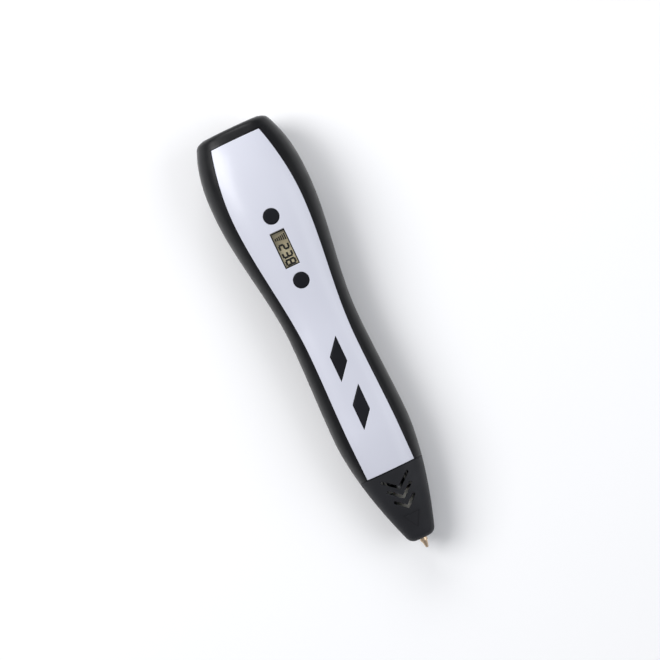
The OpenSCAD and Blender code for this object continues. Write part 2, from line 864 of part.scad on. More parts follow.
module retract_button() { slant_button(retract_at); }

// ---------- Drive ----------

module motor() {
    color("#b9bcc2")
    union() {
        rod(motor_from, gearbox_from, motor_d / 2, drive_x);
        rod(motor_from - 1.2, motor_from, 2.2, drive_x);
        block(drive_x - 4.6, drive_x - 3.4, motor_from - 3, motor_from, axis_z - 1, axis_z + 1);
        block(drive_x + 3.4, drive_x + 4.6, motor_from - 3, motor_from, axis_z - 1, axis_z + 1);
    }
}
module gearbox() {
    color("#c7b27a")
    difference() {
        union() {
            rod(gearbox_from, shaft_from, motor_d / 2, drive_x);
            rod(shaft_from, shaft_from + 1, 3, drive_x);
        }
        rod(shaft_from - shaft_in - shaft_end_gap, shaft_from + over + 1, shaft_d / 2 + running, drive_x);
    }
}
module output_shaft() {
    color("#d5d7db") rod(shaft_from - shaft_in, journal_to, shaft_d / 2, drive_x);
}
module feed_screw() {
    turns = screw_length / screw_lead;
    color("#9fa3aa")
    difference() {
        at_station(screw_from, drive_x)
            linear_extrude(height = screw_length, twist = -360 * turns, slices = turns * 10, segments = 12)
                translate([thread_depth / 2, 0]) circle(r = screw_d / 2 - thread_depth / 2, $fn = 12);
        rod(screw_from - over, screw_to + over, shaft_d / 2, drive_x);
    }
}
module screw_bush() {
    color("#b08d57")
    difference() {
        rod(screw_to + 1, journal_to, bush_d / 2, drive_x);
        rod(screw_to, journal_to + over, shaft_d / 2 + running, drive_x);
    }
}
// The block is open on the idler's side, where the arm swings
arm_half = roller_thick / 2 + arm_gap + arm_plate;
// Half-width of the room inside the shells at a height z
function room_x(s, z) =
    (half_width(s) - wall)
    * pow(max(0, 1 - pow(abs(z - middle_z(s)) / (half_height(s) - wall), squareness)), 1 / squareness);
// The block's section fits the narrowest part of the shells around it
function block_room(z) = min([for (s = steps(block_from, block_to, 6)) room_x(s, z)]) - block_gap;
module block_section() {
    low = axis_z - block_half_height;
    shoulder = low + block_chamfer;
    high = axis_z + block_half_height;
    foot = block_room(low);
    reach = block_room(shoulder);
    head = block_room(high);
    polygon([
        [max(block_left, -foot), low], [min(block_right, foot), low], [min(block_right, reach), shoulder],
        [block_right, axis_z], [min(block_right, head), high],
        [max(block_left, -head), high], [block_left, axis_z], [max(block_left, -reach), shoulder]
    ]);
}
module feeder_block() {
    floor_thick = block_half_height - arm_half - arm_gap;
    color("#3a3c44")
    difference() {
        at_station(block_from, 0, 0) linear_extrude(height = block_to - block_from) block_section();
        rod(screw_from - 0.6, screw_to + 0.6, screw_d / 2 + screw_room, drive_x);
        rod(block_from - over, screw_from, 3.2, drive_x);
        rod(screw_to, journal_to, bush_d / 2, drive_x);
        rod(screw_to, journal_to + bush_gap, shaft_d / 2 + 0.3, drive_x);
        rod(block_from - over, block_to + over, inlet_bore_d / 2);
        rod(block_from - over, block_from + 2, tube_d / 2 + tube_fit);
        rod(journal_to + bush_gap, block_to + over, tube_d / 2 + tube_fit);
        block(filament_d / 2 - 0.3, block_right - spring_seat,
            arm_spring_at - 3, arm_pin_at + arm_end_r + 0.6,
            axis_z - arm_half - arm_gap, axis_z + arm_half + arm_gap);
        translate([arm_pin_x, along(arm_pin_at), axis_z - block_half_height + floor_thick / 2])
            cylinder(h = 2 * block_half_height, r = arm_pin_d / 2, $fn = 32);
    }
}
module idler_arm() {
    back_to = arm_back_from + arm_back_thick;
    plate_mid = roller_thick / 2 + arm_gap + arm_plate / 2;
    color("#55585f")
    difference() {
        union() {
            for (side = [-1, 1])
                translate([0, 0, axis_z + side * plate_mid - arm_plate / 2])
                    linear_extrude(height = arm_plate) polygon([
                        [roller_x - arm_end_r, along(roller_at - 1)],
                        [roller_x - arm_end_r, along(roller_at + 1)],
                        [arm_pin_x - arm_end_r, along(arm_pin_at)],
                        [arm_pin_x, along(arm_pin_at + arm_end_r)],
                        [back_to, along(arm_pin_at)],
                        [back_to, along(arm_spring_at - 2)],
                        [arm_back_from, along(arm_spring_at - 2)]
                    ]);
            block(arm_back_from, back_to, arm_spring_at - 2, arm_pin_at - arm_end_r,
                axis_z - arm_half, axis_z + arm_half);
        }
        translate([arm_pin_x, along(arm_pin_at), axis_z - block_half_height])
            cylinder(h = 2 * block_half_height, r = arm_pin_d / 2 + running, $fn = 32);
        translate([roller_x, along(roller_at), axis_z - block_half_height])
            cylinder(h = 2 * block_half_height, r = roller_pin_d / 2, $fn = 32);
    }
}
module arm_pin() {
    floor_thick = block_half_height - arm_half - arm_gap;
    color("#d5d7db")
    translate([arm_pin_x, along(arm_pin_at), axis_z - block_half_height + floor_thick / 2])
        cylinder(h = 2 * block_half_height - floor_thick, r = arm_pin_d / 2, $fn = 32);
}
module roller_pin() {
    color("#d5d7db")
    translate([roller_x, along(roller_at), axis_z - arm_half])
        cylinder(h = 2 * arm_half, r = roller_pin_d / 2, $fn = 32);
}
module idler_roller() {
    color("#c9ccd1")
    translate([roller_x, along(roller_at), axis_z - roller_thick / 2]) difference() {
        cylinder(h = roller_thick, r = roller_d / 2);
        translate([0, 0, -over])
            cylinder(h = roller_thick + 2 * over, r = roller_pin_d / 2 + running, $fn = 32);
    }
}
module idler_spring() {
    from = arm_back_from + arm_back_thick + 0.02;
    to = block_right - spring_seat - 0.02;
    pitch = (to - from - 2 * spring_wire_r) / spring_turns;
    color("#c9ccd1")
    translate([from + spring_wire_r, along(arm_spring_at), axis_z]) {
        for (k = [0:spring_turns])
            translate([k * pitch, 0, 0]) rotate([0, 90, 0])
                rotate_extrude()
                    translate([spring_d / 2 - spring_wire_r, 0]) circle(r = spring_wire_r, $fn = 16);
    }
}

// ---------- Filament path and hot end ----------

rear_tube_route = [
    [inlet_x, along(inlet_length - inlet_tube_seat), axis_z],
    [inlet_x, along(20), axis_z],
    [inlet_x, along(36), axis_z],
    [inlet_x, along(shaft_from - 3), axis_z],
    [inlet_x, along(shaft_from + 1), axis_z],
    [inlet_x * 0.85, along(shaft_from + 6), axis_z],
    [inlet_x * 0.5, along(shaft_from + tube_bend / 2), axis_z],
    [inlet_x * 0.15, along(block_from - 6), axis_z],
    [0, along(block_from - 1), axis_z],
    [0, along(block_from + 1.8), axis_z]
];
module rear_guide_tube() {
    color("#f4f4ee") cable(rear_tube_route, tube_d / 2, 12);
}
module tube_between(s_from, s_to, outer_r, inner_r) {
    difference() {
        rod(s_from, s_to, outer_r);
        rod(s_from - over, s_to + over, inner_r);
    }
}
module front_guide_tube() {
    color("#f4f4ee")
        tube_between(journal_to + bush_gap, break_from + seat_length, tube_d / 2, inlet_bore_d / 2);
}
module heat_break() {
    color("#cfd2d6")
    difference() {
        union() {
            rod(break_from, seat_to, tube_d / 2 + seat_wall);
            rod(seat_to, break_to + break_thread, break_r);
        }
        rod(break_from - over, break_from + seat_length, tube_d / 2 + tube_fit);
        rod(break_from, break_to + 3, inlet_bore_d / 2);
    }
}
module heat_sink() {
    color("#aeb4bb")
    difference() {
        union() {
            rod(sink_from, sink_from + (sink_fins - 1) * fin_pitch + fin_thick, sink_hub_r + 0.4);
            for (k = [0:sink_fins - 1])
                rod(sink_from + k * fin_pitch, sink_from + k * fin_pitch + fin_thick, fin_r);
        }
        rod(sink_from - over, seat_to, tube_d / 2 + seat_wall);
        rod(sink_from, break_to, break_r);
    }
}
module heater_barrel() {
    color("#b8860b")
    difference() {
        rod(heater_from, heater_to, heater_d / 2);
        rod(heater_from - over, break_to + break_thread, break_r);
        rod(heater_from, heater_to + over, melt_d / 2);
        rod(heater_to - 3, heater_to + over, nozzle_thread_d / 2);
        translate([heater_d / 2 - 0.9, along(heater_from + 3), axis_z - over / 2])
            cube([over * 2, 2.2, over]);
    }
}
module insulation_sleeve() {
    color("#efece2") difference() {
        rod(heater_from + sleeve_end, heater_to - sleeve_end, insulation_d / 2);
        rod(heater_from, heater_to, heater_d / 2 + sleeve_gap);
    }
}
module thermistor() {
    color("#d8cfa8")
    translate([heater_d / 2 - 0.3, along(heater_from - 0.6), axis_z + 1.6]) sphere(r = 0.5, $fn = 24);
}
module nozzle() {
    hex_from = heater_to;
    color("#c8a878")
    difference() {
        union() {
            rod(heater_to - 3, hex_from, nozzle_thread_d / 2 - 0.02);
            at_station(hex_from) cylinder(h = 3, r = nozzle_hex / 2 / cos(30), $fn = 6);
            at_station(hex_from + 3) cylinder(h = 1.2, r1 = nozzle_hex / 2 - 0.1, r2 = nozzle_d / 2);
            rod(hex_from + 4.2, nose_end + nozzle_step, nozzle_d / 2);
            at_station(nose_end + nozzle_step)
                cylinder(h = nozzle_out - nozzle_step, r1 = nozzle_d / 2 - 0.25, r2 = 0.5);
        }
        rod(heater_to - 4, nose_end, melt_d / 2);
        rod(nose_end - over, pen_length + over, orifice_d / 2);
    }
}

// ---------- Fan ----------

module fan_housing() {
    color("#1a1a1c")
    translate([0, along(fan_at), fan_bottom]) difference() {
        translate([-fan_side / 2, -fan_side / 2, 0]) cube([fan_side, fan_side, fan_height]);
        translate([0, 0, fan_plate]) cylinder(h = fan_height, r = fan_side / 2 - fan_wall);
        difference() {
            translate([0, 0, -over]) cylinder(h = fan_height, r = fan_side / 2 - fan_wall - 0.4);
            translate([0, 0, -over]) cylinder(h = fan_height, r = fan_hub_r);
            for (turn = [0, 120, 240]) rotate(turn)
                translate([0, -0.6, -over]) cube([fan_side, 1.2, fan_height]);
        }
        translate([0, 0, fan_plate - 0.3]) cylinder(h = fan_height, r = 0.55, $fn = 24);
    }
}
module fan_rotor() {
    blade_reach = fan_side / 2 - fan_wall - 0.35;
    base = fan_plate + 0.25;
    color("#232327")
    translate([0, along(fan_at), fan_bottom]) union() {
        translate([0, 0, base]) cylinder(h = fan_height - base - 0.2, r = fan_hub_r);
        translate([0, 0, fan_plate - 0.25]) cylinder(h = 1, r = 0.5, $fn = 24);
        for (k = [0:fan_blades - 1]) rotate(k * 360 / fan_blades)
            translate([0, 0, base + 0.3]) rotate([25, 0, 0]) translate([0, -0.3, 0.2])
                cube([blade_reach, 0.5, fan_height - base - 1.6]);
    }
}

// ---------- Wires inside the pen ----------

wire_r = 0.5;
board_under = board_top - board_thick;
module wire_pair(route, apart) {
    for (side = [-1, 1])
        cable([for (p = route) p + side * apart / 2], wire_r);
}
module motor_wires() {
    color("#c23b3b")
    for (side = [-1, 1])
        cable([
            [drive_x + 4 * side, along(motor_from - 3.25), axis_z],
            [drive_x + 4 * side, along(motor_from - 4.8), axis_z + 2],
            [drive_x + 3 * side + 1, along(motor_from - 4.5), axis_z + 4.5],
            [drive_x + 2 * side + 4, along(motor_from), axis_z + 6.9],
            [drive_x + 2 * side + 4, along(board_from - 0.1), board_under + 0.8]
        ], wire_r);
}
module jack_wires() {
    color("#d8b830")
    wire_pair([
        [-port_x, along(jack_depth + jack_pin_tail + 0.3), axis_z],
        [-port_x, along(jack_depth + 5.9), axis_z + 3],
        [-port_x, along(jack_depth + 8.5), axis_z + 7],
        [-port_x, along(board_from - 9), board_top + 0.4],
        [-port_x, along(board_from - 0.1), board_top + 0.6]
    ], [2.4, 0, 0]);
}
module heater_wires() {
    color("#c8c8c0")
    wire_pair([
        [-3.4, along(heater_from - 0.4), axis_z + 2], [-5, along(heater_from - 1.2), axis_z + 4.6],
        [-5, along(sink_from + 3), axis_z + 6.3], [-5, along(sink_from - 2), axis_z + 6],
        [-5, along(board_to + 4), axis_z + 6.3], [-4.4, along(board_to + 0.25), board_under + 0.8]
    ], [1.4, 0, 0]);
}
module sensor_wires() {
    color("#e6e0d0")
    wire_pair([
        [3.6, along(heater_from - 1), axis_z + 2.9], [4.4, along(heater_from - 1.4), axis_z + 4.4],
        [4.4, along(sink_from + 3), axis_z + 6.3], [4.4, along(sink_from - 2), axis_z + 6],
        [4.4, along(board_to + 4), axis_z + 6.3], [4.4, along(board_to + 0.25), board_under + 0.8]
    ], [1.4, 0, 0]);
}
module fan_wires() {
    color("#2a2a2c")
    wire_pair([
        [fan_side / 2 + 0.6, along(fan_at - 3), fan_bottom + 2],
        [fan_side / 2 + 1.6, along(fan_at - 4), fan_bottom + 5],
        [fan_side / 2 + 1, along(fan_at - 7), fan_bottom + 9],
        [fan_side / 2 - 1, along(fan_at - 9), board_under - 0.6]
    ], [0, 1.4, 0]);
}

front_shell();
rear_shell();
face_panel();
nose_cone();
filament_inlet();
power_jack();
power_jack_pin();
display_lens();
display_glass();
display_holder();
main_board();
board_chips();
warmer_button();
cooler_button();
feed_button();
retract_button();
warmer_switch();
cooler_switch();
feed_switch();
retract_switch();
warmer_plunger();
cooler_plunger();
feed_plunger();
retract_plunger();
motor();
gearbox();
output_shaft();
feed_screw();
screw_bush();
feeder_block();
idler_arm();
arm_pin();
roller_pin();
idler_roller();
idler_spring();
rear_guide_tube();
front_guide_tube();
heat_sink();
heat_break();
heater_barrel();
insulation_sleeve();
thermistor();
nozzle();
fan_housing();
fan_rotor();
case_screws();
board_screws();
motor_wires();
jack_wires();
heater_wires();
sensor_wires();
fan_wires();
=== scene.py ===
"""Looks of a handheld pen that melts plastic filament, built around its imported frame.

The pen lies on its back: +Z comes up out of the face panel, +Y points to the rear end and the
nozzle is at -Y. A station is a distance from the rear end in millimetres, along the pen.
"""

import json
import math

import bpy
from mathutils import Matrix, Vector


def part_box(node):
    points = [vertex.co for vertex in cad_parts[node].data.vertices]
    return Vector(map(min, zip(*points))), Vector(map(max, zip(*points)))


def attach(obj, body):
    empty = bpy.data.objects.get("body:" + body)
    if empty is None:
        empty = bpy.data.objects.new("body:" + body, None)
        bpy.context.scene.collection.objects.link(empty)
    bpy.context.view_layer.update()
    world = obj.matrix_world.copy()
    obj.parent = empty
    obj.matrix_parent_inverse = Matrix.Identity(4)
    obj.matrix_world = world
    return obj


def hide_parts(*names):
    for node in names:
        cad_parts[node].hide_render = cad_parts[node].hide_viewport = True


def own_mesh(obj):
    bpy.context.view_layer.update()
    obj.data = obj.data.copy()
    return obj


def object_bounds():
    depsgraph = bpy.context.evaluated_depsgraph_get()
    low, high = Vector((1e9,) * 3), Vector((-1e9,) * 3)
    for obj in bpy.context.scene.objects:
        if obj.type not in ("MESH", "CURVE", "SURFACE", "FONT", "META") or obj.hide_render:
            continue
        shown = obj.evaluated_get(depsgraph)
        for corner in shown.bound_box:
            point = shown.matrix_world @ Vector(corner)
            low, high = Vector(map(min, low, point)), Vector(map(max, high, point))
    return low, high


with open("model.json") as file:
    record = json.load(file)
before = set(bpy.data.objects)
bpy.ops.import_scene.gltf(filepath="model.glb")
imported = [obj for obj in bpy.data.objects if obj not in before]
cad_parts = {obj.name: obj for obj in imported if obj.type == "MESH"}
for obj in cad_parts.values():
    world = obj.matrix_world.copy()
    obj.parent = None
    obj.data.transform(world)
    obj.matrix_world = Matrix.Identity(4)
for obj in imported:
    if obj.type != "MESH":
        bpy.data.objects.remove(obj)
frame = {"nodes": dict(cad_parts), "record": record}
cad_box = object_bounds()

MM = 0.001
PEN = "pen"
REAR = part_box("rear_shell")[1].y

# ---------- The form, in millimetres ----------

SEAM = (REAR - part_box("front_shell")[0].y) / MM
NOSE_END = (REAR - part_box("nose_cone")[0].y) / MM
TIP_END = (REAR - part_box("nozzle")[0].y) / MM
AXIS_Z = (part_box("nozzle")[0].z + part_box("nozzle")[1].z) / 2 / MM
SQUARENESS = 2.6
END_POWER = 2.5
TIP_POWER = 1.67
WALL = 2.0
END_EDGE = 2.4
END_CROWN = 0.5
END_SET_IN = 0.02
FORM_AT = (0, 29.5, SEAM - 61.5, SEAM - 18.5, NOSE_END)
FORM_WIDTH = (14.5, 20.58, 14.65, 15.7, 5.3)
FORM_TOP = (27, 31, 26.5, 25.9, AXIS_Z + 5.2)
FORM_BACK = (4.2, 0.01, 2.2, 0.01, AXIS_Z - 5.2)

PANEL_FROM = 5.7
PANEL_TO = SEAM - 0.3
PANEL_AT = (PANEL_FROM, 35, SEAM - 54.5, SEAM - 16.5, PANEL_TO)
PANEL_WIDTH = (10.35, 14.6, 9.75, 10.4, 10.15)
PANEL_POWER = 1.9
PANEL_THICK = 1.8
PANEL_GAP = 0.3

SCREW_HOLE_R = 2.0
JACK_HOLE_R = 4.1
INLET_HOLE_R = 3.55
VENT_PITCH = 2.6
VENT_HALF = 0.6
VENT_REACH = 3.9
SEAM_GAP = 0.15
TIP_ROUND = 2.2
TIP_HOLE_R = 1.85
NOSE_WALL = 1.4
SLOT_WIDTH = 1.2
SLOTS = ((7.6, 5.4, 4.5), (11.7, 4.7, 4.1), (16.0, 4.0, 3.6))
MARK_FROM = 19
MARK_TO = 25
MARK_HALF = 3.25
GROOVE_WIDTH = 0.32
GROOVE_DEEP = 0.18

WARMER_AT = 39.2
COOLER_AT = 66.7
FEED_AT = SEAM - 48.6
RETRACT_AT = SEAM - 27.7
BUTTON_R = 3.075
BUTTON_GAP = 0.2
BUTTON_PROUD = 0.19
SLANT_WIDTH = 5.2
SLANT_SIDE = 10.25
SLANT_SKEW = 6.25
WINDOW_AT = 52.8
WINDOW_X = -0.6
WINDOW_WIDTH = 6.15
WINDOW_LENGTH = 15.0


def ease(u):
    return u * u * (3 - 2 * u)


def between(a, b, u):
    return a + (b - a) * u


def steps(a, b, count):
    return [between(a, b, i / count) for i in range(count + 1)]


def profile(at, size, s, first, last):
    """A size that rises to the bulb, falls to the waist, rises to the grip and tapers off."""
    if s < at[1]:
        return between(size[1], size[0], max(0, (at[1] - s) / (at[1] - at[0])) ** first)
    if s < at[2]:
        return between(size[1], size[2], ease((s - at[1]) / (at[2] - at[1])))
    if s < at[3]:
        return between(size[2], size[3], ease((s - at[2]) / (at[3] - at[2])))
    return between(size[3], size[4], ((s - at[3]) / (at[4] - at[3])) ** last)


def half_width(s):
    return profile(FORM_AT, FORM_WIDTH, s, END_POWER, TIP_POWER)


def top_z(s):
    return profile(FORM_AT, FORM_TOP, s, END_POWER, TIP_POWER)


def back_z(s):
    return profile(FORM_AT, FORM_BACK, s, END_POWER, TIP_POWER)


def middle_z(s):
    return (top_z(s) + back_z(s)) / 2


def half_height(s):
    return (top_z(s) - back_z(s)) / 2


def panel_half(s):
    return profile(PANEL_AT, PANEL_WIDTH, min(max(s, PANEL_FROM), PANEL_TO), PANEL_POWER, 1)


def crown_z(s, x, inset=0.0):
    """Height of the outer surface over a point of the pen."""
    share = 1 - (abs(x) / (half_width(s) - inset)) ** SQUARENESS
    return middle_z(s) + (half_height(s) - inset) * max(0, share) ** (1 / SQUARENESS)


def bend(v):
    return math.copysign(abs(v) ** (2 / SQUARENESS), v)


def place(x, s, z):
    """Row-frame position, in metres, of a point given in millimetres and by its station."""
    return Vector((x * MM, REAR - s * MM, z * MM))


def section_point(s, half_w, half_h, angle):
    t = math.radians(angle)
    return place(half_w * bend(math.cos(t)), s, middle_z(s) + half_h * bend(math.sin(t)))


# ---------- Workshop ----------


def clear_selection():
    if bpy.context.object and bpy.context.object.mode != "OBJECT":
        bpy.ops.object.mode_set(mode="OBJECT")
    bpy.ops.object.select_all(action="DESELECT")


def take(piece):
    clear_selection()
    piece.select_set(True)
    bpy.context.view_layer.objects.active = piece


def fresh(name):
    """Names the primitive that was just added."""
    piece = bpy.context.object
    piece.name = name
    piece.data.name = name
    return piece


def use(piece, kind, **settings):
    """Adds a modifier and applies it."""
    take(piece)
    modifier = piece.modifiers.new(kind.title(), kind)
    for key, value in settings.items():
        setattr(modifier, key, value)
    bpy.ops.object.modifier_apply(modifier=modifier.name)


def settle(piece):
    """Puts a piece's place, turn and scale into its mesh."""
    take(piece)
    bpy.ops.object.transform_apply(location=True, rotation=True, scale=True)


def outwards(piece, merge=0.000002):
    """Merges doubles and turns every face outwards."""
    take(piece)
    bpy.ops.object.mode_set(mode="EDIT")
    bpy.ops.mesh.select_all(action="SELECT")
    bpy.ops.mesh.remove_doubles(threshold=merge)
    bpy.ops.mesh.normals_make_consistent(inside=False)
    bpy.ops.object.mode_set(mode="OBJECT")


def soften(piece, width, segments=2, angle=50, smooth=30):
    """Rounds the sharp edges of a piece and shades it smooth between them."""
    use(piece, "BEVEL", width=width * MM, segments=segments, limit_method="ANGLE",
        angle_limit=math.radians(angle), use_clamp_overlap=True, harden_normals=False)
    take(piece)
    bpy.ops.object.shade_smooth_by_angle(angle=math.radians(smooth))
    use(piece, "WEIGHTED_NORMAL", keep_sharp=True, weight=60)


def sheet_of(name, rows):
    """A skin through rows of points: a grid primitive whose points are laid on the form."""
    columns = len(rows[0])
    clear_selection()
    bpy.ops.mesh.primitive_grid_add(x_subdivisions=columns - 1, y_subdivisions=len(rows) - 1, size=1)
    skin = fresh(name)
    for vertex in skin.data.vertices:
        i = round((vertex.co.y + 0.5) * (len(rows) - 1))
        j = round((vertex.co.x + 0.5) * (columns - 1))
        vertex.co = rows[i][j]
    return skin


def join(pieces, name):
    take(pieces[0])
    for piece in pieces[1:]:
        piece.select_set(True)
    bpy.ops.object.join()
    return fresh(name)


def carve(piece, cutters, operation="DIFFERENCE"):
    """Cuts shapes out of a piece, or adds them, and clears them away."""
    for cutter in cutters:
        use(piece, "BOOLEAN", operation=operation, object=cutter, solver="EXACT")
        bpy.data.objects.remove(cutter)


def turned(name, profile_points, sides=64, x=0.0, z=None, upright=None, close=True):
    """A turned part: a circle that is pushed out and resized along its axis, step by step.

    The points are (station, radius), along the pen; with upright=(x, station) they are (height, radius).
    """
    first, radius = profile_points[0]
    clear_selection()
    if upright:
        spot, turn = place(upright[0], upright[1], first), (0, 0, 0)
    else:
        spot, turn = place(x, first, AXIS_Z if z is None else z), (math.pi / 2, 0, 0)
    bpy.ops.mesh.primitive_circle_add(vertices=sides, radius=radius * MM, location=spot, rotation=turn,
                                      fill_type="NGON" if close else "NOTHING")
    part = fresh(name)
    bpy.ops.object.mode_set(mode="EDIT")
    bpy.ops.mesh.select_all(action="SELECT")
    centre = spot.copy()
    for along, r in profile_points[1:]:
        step = (along - first) * MM
        move = Vector((0, 0, step)) if upright else Vector((0, -step, 0))
        bpy.ops.mesh.extrude_region_move(TRANSFORM_OT_translate={"value": move})
        centre += move
        bpy.ops.transform.resize(value=(r / radius,) * 3, center_override=centre)
        first, radius = along, r
    bpy.ops.object.mode_set(mode="OBJECT")
    settle(part)
    outwards(part)
    return part


def prism(name, outline, low, high):
    """An upright block over an outline of (x, station) points."""
    clear_selection()
    bpy.ops.mesh.primitive_circle_add(vertices=len(outline), radius=0.01, fill_type="NGON")
    block = fresh(name)
    for vertex, (x, s) in zip(block.data.vertices, outline):
        vertex.co = place(x, s, low)
    bpy.ops.object.mode_set(mode="EDIT")
    bpy.ops.mesh.select_all(action="SELECT")
    bpy.ops.mesh.extrude_region_move(TRANSFORM_OT_translate={"value": (0, 0, (high - low) * MM)})
    bpy.ops.object.mode_set(mode="OBJECT")
    outwards(block)
    return block


def slice_up(piece, spacing):
    """Cuts a flat piece into small cells, so that it can be laid over the crown."""
    low = Vector(piece.bound_box[0])
    high = Vector(piece.bound_box[6])
    take(piece)
    bpy.ops.object.mode_set(mode="EDIT")
    for axis in (0, 1):
        count = max(1, math.ceil((high[axis] - low[axis]) / (spacing * MM)))
        for i in range(1, count):
            cut = [0.0, 0.0, 0.0]
            cut[axis] = between(low[axis], high[axis], i / count)
            normal = [0.0, 0.0, 0.0]
            normal[axis] = 1.0
            bpy.ops.mesh.select_all(action="SELECT")
            bpy.ops.mesh.bisect(plane_co=cut, plane_no=normal)
    bpy.ops.object.mode_set(mode="OBJECT")


def drape(piece, level=0.0):
    """Lays a flat piece over the crown: its own height becomes the height over the surface."""
    for vertex in piece.data.vertices:
        s = (REAR - vertex.co.y) / MM
        vertex.co.z += (crown_z(s, vertex.co.x / MM) + level) * MM


def finish_piece(piece, body, material, nodes=()):
    """Gives a finished piece its material, its body and the nodes that it stands for."""
    piece.data.materials.clear()
    piece.data.materials.append(material)
    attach(piece, body)
    if nodes:
        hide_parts(*nodes)
    return piece


# ---------- Finishes ----------


class Finish:
    """A material under construction: its nodes, its links and its shader."""

    def __init__(self, name, colour, roughness, **shader_values):
        self.material = bpy.data.materials.new(name)
        self.material.use_nodes = True
        self.nodes = self.material.node_tree.nodes
        self.links = self.material.node_tree.links
        self.shader = self.nodes["Principled BSDF"]
        self.set("Base Color", (*colour, 1))
        self.set("Roughness", roughness)
        for key, value in shader_values.items():
            self.set(key.replace("_", " "), value)
        self.place = self.nodes.new("ShaderNodeTexCoord").outputs["Object"]

    def set(self, socket, value):
        self.shader.inputs[socket].default_value = value

    def wire(self, socket, output):
        self.links.new(output, self.shader.inputs[socket])

    def stretched(self, scale):
        node = self.nodes.new("ShaderNodeMapping")
        node.inputs["Scale"].default_value = scale
        self.links.new(self.place, node.inputs["Vector"])
        return node.outputs["Vector"]

    def noise(self, scale, detail=3.0, rough=0.5, where=None):
        node = self.nodes.new("ShaderNodeTexNoise")
        node.inputs["Scale"].default_value = scale
        node.inputs["Detail"].default_value = detail
        node.inputs["Roughness"].default_value = rough
        self.links.new(where or self.place, node.inputs["Vector"])
        return node.outputs["Fac"]

    def ramp(self, value, *stops):
        node = self.nodes.new("ShaderNodeValToRGB")
        band = node.color_ramp
        while len(band.elements) < len(stops):
            band.elements.new(0.5)
        for element, (spot, colour) in zip(band.elements, stops):
            element.position = spot
            element.color = (*colour, 1)
        self.links.new(value, node.inputs["Fac"])
        return node.outputs["Color"]

    def spread(self, value, low, high):
        node = self.nodes.new("ShaderNodeMapRange")
        node.inputs["From Min"].default_value = 0.3
        node.inputs["From Max"].default_value = 0.7
        node.inputs["To Min"].default_value = low
        node.inputs["To Max"].default_value = high
        self.links.new(value, node.inputs["Value"])
        return node.outputs["Result"]

    def bump(self, value, depth, strength=1.0):
        node = self.nodes.new("ShaderNodeBump")
        node.inputs["Strength"].default_value = strength
        node.inputs["Distance"].default_value = depth * MM
        self.links.new(value, node.inputs["Height"])
        self.wire("Normal", node.outputs["Normal"])


def moulded(name, dark, light, roughness, grain, depth, **values):
    """Moulded plastic: two close tones, a fine grain and an uneven gloss."""
    finish = Finish(name, dark, roughness, **values)
    finish.wire("Base Color", finish.ramp(finish.noise(55, 2), (0.35, dark), (0.7, light)))
    finish.wire("Roughness", finish.spread(finish.noise(240, 3), roughness - 0.05, roughness + 0.06))
    finish.bump(finish.noise(grain, 2, 0.6), depth)
    return finish.material


def worked_metal(name, dark, light, roughness, direction):
    """Metal with fine tool marks that run round or along the part."""
    finish = Finish(name, dark, roughness, Metallic=1.0)
    marks = finish.noise(1.0, 4, 0.65, finish.stretched(direction))
    finish.wire("Base Color", finish.ramp(marks, (0.3, dark), (0.7, light)))
    finish.wire("Roughness", finish.spread(marks, roughness - 0.07, roughness + 0.09))
    finish.bump(marks, 0.015, 0.6)
    return finish.material


def circuit_green():
    """Solder mask over copper tracks."""
    finish = Finish("solder_mask", (0.01, 0.09, 0.035), 0.35)
    brick = finish.nodes.new("ShaderNodeTexBrick")
    brick.inputs["Scale"].default_value = 320
    brick.inputs["Color1"].default_value = (0.012, 0.12, 0.05, 1)
    brick.inputs["Color2"].default_value = (0.008, 0.085, 0.03, 1)
    brick.inputs["Mortar"].default_value = (0.03, 0.2, 0.08, 1)
    brick.inputs["Mortar Size"].default_value = 0.03
    finish.links.new(finish.place, brick.inputs["Vector"])
    finish.wire("Base Color", brick.outputs["Color"])
    finish.bump(brick.outputs["Fac"], 0.03)
    return finish.material


def woven_sleeve():
    """Woven glass fibre, white and slightly dusty."""
    finish = Finish("woven_sleeve", (0.78, 0.76, 0.7), 0.9, Sheen_Weight=0.3)
    wave = finish.nodes.new("ShaderNodeTexWave")
    wave.inputs["Scale"].default_value = 900
    wave.inputs["Distortion"].default_value = 1.5
    finish.links.new(finish.place, wave.inputs["Vector"])
    finish.wire("Base Color", finish.ramp(
        wave.outputs["Fac"], (0.0, (0.6, 0.58, 0.52)), (1.0, (0.9, 0.89, 0.84))))
    finish.bump(wave.outputs["Fac"], 0.08)
    return finish.material


def display_cell():
    """The khaki polariser of the display, with a soft unevenness."""
    finish = Finish("display_cell", (0.42, 0.37, 0.22), 0.3, Coat_Weight=0.4)
    finish.wire("Base Color", finish.ramp(
        finish.noise(130, 2), (0.3, (0.38, 0.32, 0.2)), (0.7, (0.56, 0.5, 0.33))))
    finish.bump(finish.noise(900, 2), 0.004)
    return finish.material


def clear_lens():
    finish = Finish("clear_lens", (0.98, 0.98, 0.96), 0.04, Transmission_Weight=1.0, IOR=1.2, Alpha=0.12)
    finish.bump(finish.noise(60, 2), 0.002, 0.3)
    return finish.material


def pearl_white():
    """Glossy pearl lacquer: cool white with a lavender drift and tiny flakes."""
    finish = Finish("pearl_white", (0.59, 0.6, 0.675), 0.34, Coat_Weight=0.25, Coat_Roughness=0.2)
    finish.wire("Base Color", finish.ramp(
        finish.noise(22, 2), (0.3, (0.575, 0.585, 0.662)), (0.7, (0.605, 0.615, 0.69))))
    finish.wire("Roughness", finish.spread(finish.noise(1800, 2), 0.3, 0.4))
    finish.bump(finish.noise(900, 2), 0.0016, 0.6)
    return finish.material


